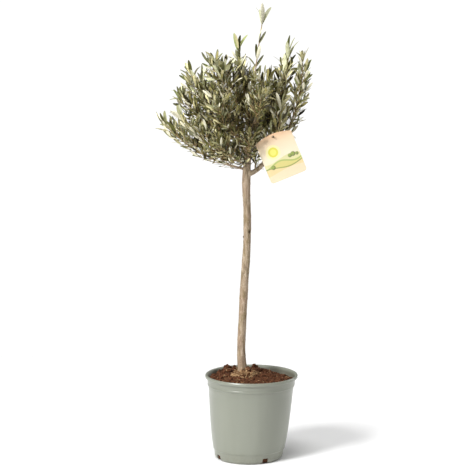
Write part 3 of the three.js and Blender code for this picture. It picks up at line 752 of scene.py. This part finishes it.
# Twigs: each spray's stem runs on from its bough and bears opposite side shoots, shorter towards its tip,
# that bend upwards and fork again where they are long. A shoot ends where it would leave its spray's own
# space or meet a limb or the card. Old limbs bear short shoots of their own in the crown's shade.
STEM_STEP = 11  # between two pairs of side shoots
SHOOT_STEP = 8  # between two pairs of leaves
STEP_RANGE = (0.85, 1.15)  # of that step
SPREAD_RANGE = (0.7, 1.3)  # of a side shoot's length
SPREAD_BY_SHARE = (1.15, 0.4)  # of it too, from the foot of the spray to its tip
SIDE_ANGLE = math.radians(50)
FORK_ANGLE = math.radians(46)
FORK_LIFT = 0.2
LONG_SHOOT = 4  # steps from which a side shoot forks
FORK_STEP = 2
SHORT_SHOOT = 3  # steps below which a shoot is leafy from its foot
LIFT = 0.45
WANDER = 0.4
BEND = 0.07
WOBBLE = 0.12
SHOOT_RADIUS = 0.8 * TWIG_RADIUS
INNER_SHOOT_RADIUS = 0.6 * TWIG_RADIUS
GOLDEN_TURN = 2.4  # round a limb, from one inner shoot to the next
QUARTER = math.pi / 2
HANDS = (0, math.pi)
LEAF_LIFT = 0.35
LEAF_LEAN = 36
LEAN_RANGE = (0.7, 1.3)
LEAF_TWIST = 2.4
LEAF_SEAT = 1.2
INNER_LEAF_LENGTH = 32
LIGHT_RANGE = (0.62, 1.04)  # of a leaf's length, from the heart of the crown to its skin
LENGTH_RANGE = (0.75, 1.2)
CUT_LENGTHS = (1, 0.82, 0.66)  # tried one after the other, where there is little room
TIP_LEAVES = ((0, 4, 1.15), (1, 13, 1.1), (-1, 13, 1.1))  # quarter turns, lean, size
LEADER_KNOTS = (0.04, 0.31, 0.42, 0.67, 0.96)
LEADER_TURN = 0.25
FAN_START = 0.84  # the share of a spray past which its leaves stand on the stem itself
STEM_LEAVES_FROM = 0.45
MINGLING = 7  # how far a spray's leaves may reach in among its neighbour's
LIMB_BERTH = 0.6
CARD_BERTH = 6
UNDERSIDE = 594  # of the crown at its stem
BRANCH_STEPS = 12
CARD_TILT = math.radians(22.5)
CARD_DOWN = np.array((math.sin(CARD_TILT), 0, -math.cos(CARD_TILT)))
CARD_ACROSS = np.array((math.cos(CARD_TILT), 0, math.sin(CARD_TILT)))
CARD_WIDTH = 77
CARD_HEIGHT = 86

branch_points = [along(row, np.linspace(0, 1, BRANCH_STEPS + 1)) for row in branches]
line_starts = np.concatenate([points[:-1] for points in branch_points])
line_ways = np.concatenate([np.diff(points, axis=0) for points in branch_points])
line_owners = np.repeat(np.arange(len(SPRAYS)), BRANCH_STEPS)
limb_rows = [
    # middle line, radius at its root and at its end
    (stem_at(np.arange(560, LEADER_HEAD, 6)), TRUNK_HEAD_RADIUS, LEADER_TIP_RADIUS),
    (arm, 5, ARM_TIP_RADIUS),
    (hanger, HANGER_ROOT_RADIUS, HANGER_RADIUS),
    *[(along(row, np.linspace(0, spray[6], 8)), 2.6, 2.2) for spray, row in zip(SPRAYS, branches)],
]
limb_points = np.concatenate([row for row, foot, tip in limb_rows])
limb_radii = np.concatenate([np.linspace(foot, tip, len(row)) for row, foot, tip in limb_rows])


def depth_in_space(index, point):
    """How far a point lies inside a spray's space, less than nothing outside it."""
    shares = np.clip(((point - line_starts) * line_ways).sum(1) / (line_ways**2).sum(1), 0, 1)
    gaps = np.linalg.norm(line_starts + line_ways * shares[:, None] - point, axis=1)
    own = line_owners == index
    return (gaps[~own].min() - gaps[own].min()) / 2


def clear_of_card(point):
    from_hole = point - CARD_HANG
    across, down = abs(from_hole.dot(CARD_ACROSS)), from_hole.dot(CARD_DOWN)
    beside = across > CARD_WIDTH / 2 + 2 or down < -8 or down > CARD_HEIGHT + 4
    return beside or abs(from_hole[1]) > CARD_BERTH


def clear_of_limbs(point, own_entry):
    gaps = np.linalg.norm(limb_points - point, axis=1) - limb_radii
    near_own = np.linalg.norm(limb_points - own_entry, axis=1) < 7
    return (gaps[~near_own] > LIMB_BERTH).all()


def above_underside(point):
    """The crown's underside is a bowl that climbs from the stem, more steeply at the right and the front."""
    steepness = 0.0026 if point[0] < 0 else 0.0075
    return point[2] > UNDERSIDE + steepness * (point[0] ** 2 + point[1] ** 2) - 0.12 * min(0, point[1])


def seeded(seed):
    """A generator of numbers from 0 to 1 that gives the same row for the same seed."""
    state = seed * 7919 + 1

    def draw():
        nonlocal state
        state = (state * 16807) % 2147483647
        return state / 2147483647

    return draw


class Spray:
    """One spray's twigs and leaves, grown with its own random numbers. Outward is 0 deep in the crown."""

    def __init__(self, index, seed, entry, leaf_length):
        self.index, self.entry, self.leaf_length = index, entry, leaf_length
        self.draw = seeded(seed)
        self.twigs, self.leaves = [], []

    def free(self, point):
        if not clear_of_card(point) or not above_underside(point) or not clear_of_limbs(point, self.entry):
            return False
        return self.index is None or depth_in_space(self.index, point) > -MINGLING

    def offer(self, point, heading, turn, lean, size, outward):
        """Sets a leaf at a point of a shoot where there is room for it, smaller if need be."""
        draw = self.draw
        foot = point - heading * LEAF_SEAT
        side = side_of(heading, turn)
        way = unit(swung(heading, side, math.radians(lean * mix(*LEAN_RANGE, draw()))) + UP * LEAF_LIFT)
        across = unit(np.cross(way, side))
        across = swung(across, np.cross(way, across), LEAF_TWIST * (draw() - 0.5))
        length = self.leaf_length * size * mix(*LIGHT_RANGE, outward**2) * mix(*LENGTH_RANGE, draw())
        for share in CUT_LENGTHS:
            if self.free(foot + way * length * share * 0.5) and self.free(foot + way * length * share):
                self.leaves.append((foot, way, across, length * share))
                return

    def shoot(self, start, way, steps, radius, turn, outward, fork_at=None):
        """Grows a shoot that bends up a little at each step and bears a pair of leaves or two twigs there."""
        draw = self.draw
        points = [start]
        for j in range(1, steps + 1):
            way = unit(way + UP * BEND + np.array([WOBBLE * (draw() - 0.5) for axis in range(3)]))
            following = points[-1] + way * SHOOT_STEP * mix(*STEP_RANGE, draw())
            if not self.free(following):
                break
            points.append(following)
            pair_turn = turn + j * QUARTER
            share = j / steps
            if j == fork_at:
                for hand in HANDS:
                    side_way = swung(way, side_of(way, pair_turn + hand), FORK_ANGLE) + UP * FORK_LIFT
                    fork_steps = 1 + round(1.3 * draw())
                    self.shoot(following, unit(side_way), fork_steps, radius * 0.75, turn, outward)
            elif j > 1 or steps < SHORT_SHOOT or draw() < outward:
                for hand in HANDS:
                    lean = LEAF_LEAN * (1.3 - 0.6 * share)
                    self.offer(following, way, pair_turn + hand, lean, 1.08 - 0.12 * share, outward)
            if j == steps:
                self.offer(following, way, pair_turn, 6, 1.05, outward)
        if len(points) > 1:
            self.twigs.append((points, np.linspace(radius, 0.55 * radius, len(points))))


def grow_spray(index):
    name, root, azimuth, reach, top, rise, bare, spread, leaf_length, seed = SPRAYS[index]
    row = branches[index]
    span = length_of(row)
    spray = Spray(index, seed, along(row, [bare])[0], leaf_length)
    draw = spray.draw
    stem_shares = np.linspace(0.3 * bare, 1, 36)
    spray.twigs.append((along(row, stem_shares), branch_radius(name, span, stem_shares) - 0.1))
    first = 0.5 * bare
    knots = round((1 - first) * span / STEM_STEP)
    shares = np.linspace(first, 1, knots + 1)
    first_turn = draw() * math.pi
    if name == "leader":
        knots, shares, first_turn = len(LEADER_KNOTS) - 1, LEADER_KNOTS, LEADER_TURN
    for i in range(1, knots + 1):
        share = i / knots
        at, before = along(row, [shares[i], shares[i] - 0.02])
        heading = unit(at - before)
        turn = first_turn + i * QUARTER
        if share == 1:
            for quarters, lean, size in TIP_LEAVES:
                spray.offer(at, heading, turn + quarters * QUARTER, lean, size, 1)
        for hand in HANDS:
            length = spread * mix(*SPREAD_BY_SHARE, share) * mix(*SPREAD_RANGE, draw())
            steps = 0 if share > FAN_START else round(length / SHOOT_STEP)
            if steps == 0:
                size = 0.85 if name == "leader" and share < 1 else 1.05
                spray.offer(at, heading, turn + hand, LEAF_LEAN * (1.15 - 0.5 * share), size, 1)
                continue
            way = swung(heading, side_of(heading, turn + hand), SIDE_ANGLE)
            way = way + (WANDER * (draw() - 0.5), WANDER * (draw() - 0.5), LIFT)
            fork_at = FORK_STEP if steps >= LONG_SHOOT else None
            spray.shoot(at, unit(way), steps, SHOOT_RADIUS, turn, share, fork_at)
            if share > STEM_LEAVES_FROM:
                spray.offer(at, heading, turn + hand + QUARTER, LEAF_LEAN, 1, share)
    return spray


def grow_inside(row, gap, steps, seed, outward=0):
    """Short leafy shoots that stand all round an old limb, in the shade of the crown."""
    spray = Spray(None, seed, row[0], INNER_LEAF_LENGTH)
    count = int(length_of(row) / gap)
    for i in range(count):
        at, beyond = along(row, [(i + 0.5) / count, (i + 0.6) / count])
        heading = unit(beyond - at)
        turn = i * GOLDEN_TURN + spray.draw()
        way = unit(heading * 0.6 + side_of(heading, turn) + UP * 0.25)
        spray.entry = at
        spray.shoot(at + way * 3, way, steps + round(spray.draw()), INNER_SHOOT_RADIUS, turn, outward)
    return spray


sprays = [
    *[grow_spray(index) for index in range(len(SPRAYS))],
    grow_inside(stem_at(np.linspace(606, LEADER_HEAD, 40)), 5, 3, 50),
    grow_inside(stem_at(np.linspace(597, 632, 20)), 2.2, 3, 49, 0.4),
    grow_inside(arm, 7, 2, 51),
]
for index, row in enumerate(branches):
    if SPRAY_NAMES[index] != "leader":
        sprays.append(grow_inside(along(row, np.linspace(0.04, 0.42, 24)), 9, 2, 60 + index, 0.25))

twigs = [twig for spray in sprays for twig in spray.twigs]
points, lines = joined([(row, [(i, i + 1) for i in range(len(row) - 1)]) for row, radii in twigs])
twig_mesh = mesh_of("olive_twigs", points, lines=lines)
girths = np.concatenate([radii for row, radii in twigs]) * MM
twig_mesh.attributes.new("girth", "FLOAT", "POINT").data.foreach_set("value", girths)

# The tree turns each line into a round twig of its own girth.
twig_tree, given = geometry_tree("twig_skin", {"Sides": "Int", "Finish": "Material"})
girth = add(twig_tree, "InputNamedAttribute", {"Name": "girth"}, data_type="FLOAT")
lines = add(twig_tree, "MeshToCurve", {"Mesh": given["Geometry"]})
ring = add(twig_tree, "CurvePrimitiveCircle", {"Resolution": given["Sides"], "Radius": 1.0})
swept = {"Curve": lines, "Profile Curve": ring, "Scale": girth, "Fill Caps": True}
skins = add(twig_tree, "SetShadeSmooth", {"Geometry": add(twig_tree, "CurveToMesh", swept)})
end_tree(twig_tree, skins, [(given["Finish"], True)])

# Shoots of the last summer: smooth, tan skin with a dull shine.
tans = [(0.35, "#7d6142"), (0.65, "#b7a274")]
twig_skin = mottled("green_olive_shoot", 45, 4, tans, roughness=0.62, specular_ior_level=0.35)
FOLIAGE_NODES = ["foliage_" + name for name in SPRAY_NAMES]
twig_piece = new_object("olive_twigs", twig_mesh)
grow(twig_piece, twig_tree, {"Sides": 6, "Finish": twig_skin})
settle(twig_piece, "bark", *FOLIAGE_NODES)

# Leaves: narrow and leathery, 20 to 40 mm long, in pairs that turn a quarter round from one to the next. The
# upper face is dark olive green with a satin skin, and the underside is felted with silvery scales.
LEAF_WIDTH = 0.2  # of its length
LEAF_FOLD = 0.22  # how far its edge stands over its rib, of the half width
LEAF_THICKNESS = (0.006, 0.009)  # of its length, at its ends and where it is widest
# The blade's outline, as shares of the length and of the half width.
BLADE = [(0, 0.1), (0.06, 0.12), (0.16, 0.52), (0.33, 0.88), (0.55, 1), (0.76, 0.86), (0.92, 0.52), (1, 0)]
LEAF_FORMS = [
    # bend back along the leaf and twist, in degrees, and width
    (20, 10, 1),
    (44, -24, 0.86),
    (-30, 18, 1.1),
    (70, 30, 0.9),
    (8, -36, 1),
    (-52, -14, 0.84),
]
TINTS = [
    # name, upper face, underside
    ("deep", "#373115", "#8f8753"),
    ("olive", "#5b5c2d", "#d2ca99"),
    ("grey", "#8a8a64", "#e8e3c8"),
    ("young", "#959c63", "#dfe0b8"),
]


def leaf_form(bend, twist, width):
    """A leaf of unit length along +Y: a thin closed blade, folded along its rib, upper face to +Z."""
    shape = bmesh.new()
    rows = []
    y = z = 0.0
    for i, (share, half) in enumerate(BLADE):
        if i:
            step = share - BLADE[i - 1][0]
            angle = math.radians(bend) * (share - step / 2)
            y += step * math.cos(angle)
            z -= step * math.sin(angle)
        if half == 0:
            rows.append([shape.verts.new((0, y, z))] * 4)
            continue
        half_width = half * LEAF_WIDTH * width / 2
        turn = math.radians(twist) * share
        across, up = half_width * math.cos(turn), half_width * math.sin(turn)
        edge = z + LEAF_FOLD * half_width
        thick = mix(*LEAF_THICKNESS, half)
        row = [(-across, y, edge - up), (0, y, z + thick), (across, y, edge + up), (0, y, z - thick)]
        rows.append([shape.verts.new(point) for point in row])
    for low, high in zip(rows, rows[1:]):
        for k in range(4):
            j = (k + 1) % 4
            corners = [low[k], low[j], high[j], high[k]]
            face = shape.faces.new([v for n, v in enumerate(corners) if v not in corners[:n]])
            face.material_index = 0 if k < 2 else 1
            face.smooth = True
    shape.faces.new(rows[0]).material_index = 1
    bmesh.ops.recalc_face_normals(shape, faces=shape.faces)
    for edge in shape.edges:
        edge.smooth = len({face.material_index for face in edge.link_faces}) == 1
    mesh = bpy.data.meshes.new("leaf")
    shape.to_mesh(mesh)
    shape.free()
    under = [face.material_index == 1 for face in mesh.polygons]
    mesh.attributes.new("underside", "BOOLEAN", "FACE").data.foreach_set("value", under)
    return mesh


form_objects = [new_object(f"leaf_form_{i}", leaf_form(*form)) for i, form in enumerate(LEAF_FORMS)]
forms = bpy.data.collections.new("leaf_forms")
for form in form_objects:
    forms.objects.link(form)

# The tree sets a leaf of one of the forms on each foot, turned and sized by the foot's attributes.
kinds = {"Forms": "Collection", "Upper face": "Material", "Underside": "Material", "Seed": "Int"}
leaf_tree, given = geometry_tree("leaves_on_shoots", kinds)
all_forms = {"Collection": given["Forms"], "Separate Children": True, "Reset Children": True}
pick = {4: 0, 5: len(LEAF_FORMS) - 1, "Seed": given["Seed"]}
set_on = add(
    leaf_tree,
    "InstanceOnPoints",
    {
        "Points": given["Geometry"],
        "Instance": add(leaf_tree, "CollectionInfo", all_forms),
        "Pick Instance": True,
        "Instance Index": add(leaf_tree, "RandomValue", pick, out=2, data_type="INT"),
        "Rotation": add(leaf_tree, "InputNamedAttribute", {"Name": "turn"}, data_type="QUATERNION"),
        "Scale": add(leaf_tree, "InputNamedAttribute", {"Name": "size"}, data_type="FLOAT"),
    },
)
below = add(leaf_tree, "InputNamedAttribute", {"Name": "underside"}, data_type="BOOLEAN")
end_tree(leaf_tree, set_on, [(given["Upper face"], True), (given["Underside"], below)])

# Leaves take darker tints near the crown's heart, painted shade, and lighter ones further out, painted light;
# only leaves at its top may be young. Each spray shifts its leaves' tints at random, and each leaf draws
# round that.
HEART = np.array((-4, 0, 700))
HEART_REACH = np.array((106, 90, 104))
TINT_AT_HEART = -0.25
TINT_RISE = 1.75
SPRAY_SHADES = 0.7
LEAF_SHADES = 2.8
YOUNG_ABOVE = 735
dealt = [[] for tint in TINTS]
draw = seeded(6)
for spray in sprays:
    shade = SPRAY_SHADES * (draw() - 0.5)
    for foot, way, across, length in spray.leaves:
        out = np.linalg.norm((foot + way * length / 2 - HEART) / HEART_REACH)
        # Darker tints towards the heart are painted shade, and lighter ones further out are painted light.
        tint = int(TINT_AT_HEART + TINT_RISE * out + shade + LEAF_SHADES * (draw() - 0.5))
        youngest = 3 if foot[2] > YOUNG_ABOVE else 2
        dealt[min(youngest, max(0, tint))].append((foot, way, across, length))

for seed, ((name, upper_colour, under_colour), leaves) in enumerate(zip(TINTS, dealt)):
    finishes = []
    sides = (("cuticle", upper_colour, 0.42, 0.5), ("felt", under_colour, 0.75, 0.3))
    for side, colour, roughness, level in sides:
        finish, tree, place = new_material(f"{name}_leaf_{side}")
        cloud = add(tree, "TexNoise", {"Vector": place, "Scale": 120, "Detail": 3})
        shift = add(tree, "MapRange", {0: cloud, 1: 0.3, 2: 0.7, 3: 0.86, 4: 1.14})
        tone = add(tree, "HueSaturation", {"Value": shift, "Color": linear(colour)})
        set_shader(tree, base_color=tone, roughness=roughness, specular_ior_level=level)
        finishes.append(finish)
    feet = mesh_of(f"leaves_{name}", [leaf[0] for leaf in leaves])
    turns = []
    for foot, way, across, length in leaves:
        turns += list(Matrix((-across, way, np.cross(way, across))).transposed().to_quaternion())
    feet.attributes.new("turn", "QUATERNION", "POINT").data.foreach_set("value", turns)
    feet.attributes.new("size", "FLOAT", "POINT").data.foreach_set("value", [leaf[3] * MM for leaf in leaves])
    piece = new_object(f"leaves_{name}", feet)
    upper, under = finishes
    grow(piece, leaf_tree, {"Forms": forms, "Upper face": upper, "Underside": under, "Seed": seed})
    settle(piece, "foliage", *FOLIAGE_NODES)
for form in form_objects:
    bpy.data.objects.remove(form)
bpy.data.collections.remove(forms)

# Label: an arched card, cut and punched from one sheet, bowed a little as it hangs. A twig of the side arm
# goes through its hole and holds it. Its design runs across the whole front, and its back is plain.
CARD_ARCH = 8
CARD_HOLE_DROP = 6
CARD_CORNER = 6
CARD_THICKNESS = 0.6
CARD_HOLE_RADIUS = 2.6
CARD_BOW = 1.6
CARD_SLACK = CARD_HOLE_RADIUS - HANGER_RADIUS - 0.3
CARD_COLUMNS = 40
CARD_ROWS = 24
half = CARD_WIDTH / 2
shoulder = CARD_HOLE_DROP - CARD_ARCH
points = []
for v in np.linspace(0, 1, CARD_ROWS + 1):
    for x in half * np.sin(math.pi / 2 * np.linspace(-1, 1, CARD_COLUMNS + 1)):
        past = max(0, abs(x) - (half - CARD_CORNER))
        foot = shoulder - CARD_HEIGHT + CARD_CORNER - math.sqrt(max(0, CARD_CORNER**2 - past**2))
        head = shoulder + CARD_ARCH * (1 - (x / half) ** 2)
        points.append((x, CARD_BOW * (x / half) ** 2, mix(foot, head, v)))
card_mesh = mesh_of("label", points, bands(CARD_ROWS + 1, CARD_COLUMNS + 1, closed=False))
punch_row = np.array(((0, -5.0, 0), (0, 5.0, 0)))
hole = new_object("hole", facing_out(mesh_of("hole", *tube(punch_row, lambda s, a: CARD_HOLE_RADIUS, 24))))

# Offset print on coated card under a thin varnish, with a soft even gloss: peach that fades to cream and
# back, a round sun, rolling hills in greens and yellow, and a few shrubs. Its sizes are in metres, across
# and up from the hole.
SUN = [
    # radius, colour, strength
    (0.0145, "#f7ecb0", 0.9),
    (0.0098, "#dfd94f", 0.95),
    (0.0062, "#eee97f", 0.8),
]
HILLS = [
    # crest, wave, its start, its swing, colour, strength
    (-0.047, 0.0135, 0.5, 0.0035, "#dbd89c", 0.8),
    (-0.0535, 0.0105, 2.2, 0.0045, "#a9b765", 0.85),
    (-0.0565, 0.0105, 2.2, 0.0045, "#ded088", 0.85),
    (-0.062, 0.0150, 4.0, 0.0040, "#7f9350", 0.8),
    (-0.064, 0.0150, 4.0, 0.0040, "#eed7a4", 0.9),
    (-0.072, 0.0190, 1.0, 0.0030, "#f2dcbb", 0.95),
]
SHRUBS = [
    # across, up, radius
    (0.0165, -0.0475, 0.0036),
    (0.0235, -0.0465, 0.0044),
    (0.0315, -0.0485, 0.003),
    (-0.0235, -0.0585, 0.004),
]
print_ink, tree, place = new_material("printed_card")
hung = {"Vector": place, "Location": tuple(CARD_HANG * MM), "Rotation": (0, -CARD_TILT, 0)}
turned = add(tree, "Mapping", hung, vector_type="TEXTURE")
across, up = [add(tree, "SeparateXYZ", {0: turned}, out=axis) for axis in "XZ"]
fade = add(tree, "MapRange", {0: up, 1: -0.085, 2: 0.006})
ground_tints = [(0, "#f1dabb"), (1, "#efc49c"), (0.5, "#efe5c9"), (0.8, "#f1dab9")]
card_ground = add(tree, "ValToRGB", {0: fade}, stops=ground_tints)
inks = []
for radius, colour, strength in SUN:
    inks.append((round_spot(tree, turned, (-0.012, 0, -0.03), radius, 0.0006, strength), colour))
for crest, wave, start, swing, colour, strength in HILLS:
    phase = add(tree, "Math", {0: across, 1: 1 / wave, 2: start}, operation="MULTIPLY_ADD")
    roll = add(tree, "Math", {0: phase}, operation="SINE")
    line = add(tree, "Math", {0: roll, 1: swing, 2: crest}, operation="MULTIPLY_ADD")
    under = add(tree, "Math", {0: line, 1: up}, operation="SUBTRACT")
    inks.append((add(tree, "MapRange", {0: under, 1: 0, 2: 0.0005, 3: 0, 4: strength}), colour))
for x, z, radius in SHRUBS:
    for shift, size, colour in ((0.0006, 1.0, "#59683a"), (-0.0004, 0.74, "#9aab5c")):
        middle = (x + shift, 0, z - shift)
        inks.append((round_spot(tree, turned, middle, radius * size, 0.0009, 0.85), colour))
printed = lay_tints(tree, card_ground, inks)
set_shader(tree, base_color=printed, roughness=0.5, specular_ior_level=0.4, coat_weight=0.15)

# The back is the card's own pale board, unprinted and without gloss.
creams = [(0.3, "#e6dfd0"), (0.7, "#efe9dc")]
board = mottled("uncoated_board", 600, 3, creams, roughness=0.85, specular_ior_level=0.25)

label = new_object("label", card_mesh, print_ink, board)
body = label.modifiers.new("body", "SOLIDIFY")
body.thickness = CARD_THICKNESS * MM
body.offset = 0
label.modifiers.new("punch", "BOOLEAN").object = hole
bake(label)
bpy.data.objects.remove(hole)
facing_out(label.data)
for face in label.data.polygons:
    face.material_index = int(face.normal.y > 0.5)
seat = Matrix.Translation(Vector(CARD_HANG - UP * CARD_SLACK) * MM)
label.data.transform(seat @ Matrix.Rotation(-CARD_TILT, 4, "Y"))
smooth(label.data)
settle(label, "card", "label_card")

# Studio: a pale floor in a white room, a large soft key light from the left, a softer light overhead, a weak
# one from behind on the right, and the camera at the height and distance from which the plant is seen a
# little from above.
FLOOR_SIDE = 2000
LAMP_AIM = Vector((0, 0, 0.55))
corner = FLOOR_SIDE / 2
floor_corners = [(-corner, -corner, 0), (corner, -corner, 0), (corner, corner, 0), (-corner, corner, 0)]
pale, tree, place = new_material("pale_floor")
set_shader(tree, base_color=linear("#f5f5f5"), roughness=0.9, specular_ior_level=0.1)
floor = new_object("floor", mesh_of("floor", floor_corners, [(0, 1, 2, 3)]), pale)

# The room is white to look at, and the light that comes off its walls is weaker than the lamps'.
world = bpy.data.worlds.new("white_room")
tree = emptied_tree(world)
white = (1, 1, 1, 1)
lit, seen = [add(tree, "Background", {"Color": white, "Strength": strength}) for strength in (0.19, 1.05)]
room = add(tree, "MixShader", {0: add(tree, "LightPath", out="Is Camera Ray"), 1: lit, 2: seen})
add(tree, "OutputWorld", {"Surface": room})
bpy.context.scene.world = world
for name, place, width, power in (
    ("key", (-2.25, -2.4, 2.4), 1.0, 155),
    ("overhead", (-0.4, -0.6, 3.4), 1.8, 85),
    ("rim", (2.6, 1.4, 1.2), 0.8, 36),
):
    lamp = bpy.data.lights.new(name, "AREA")
    lamp.size = width
    lamp.energy = power
    lamp_object = new_object(name, lamp)
    lamp_object.location = place
    lamp_object.rotation_euler = (LAMP_AIM - Vector(place)).to_track_quat("-Z", "Y").to_euler()

camera = bpy.data.cameras.new("camera")
camera.sensor_width = 36
camera.lens = 151.43
camera.clip_end = 50
camera_object = new_object("camera", camera)
camera_object.location = (0, -4.0, 1.054)
camera_object.rotation_euler = (math.radians(90 - 8.375), 0, math.radians(0.443))
bpy.context.scene.camera = camera_object
bpy.context.scene.view_settings.view_transform = "Standard"
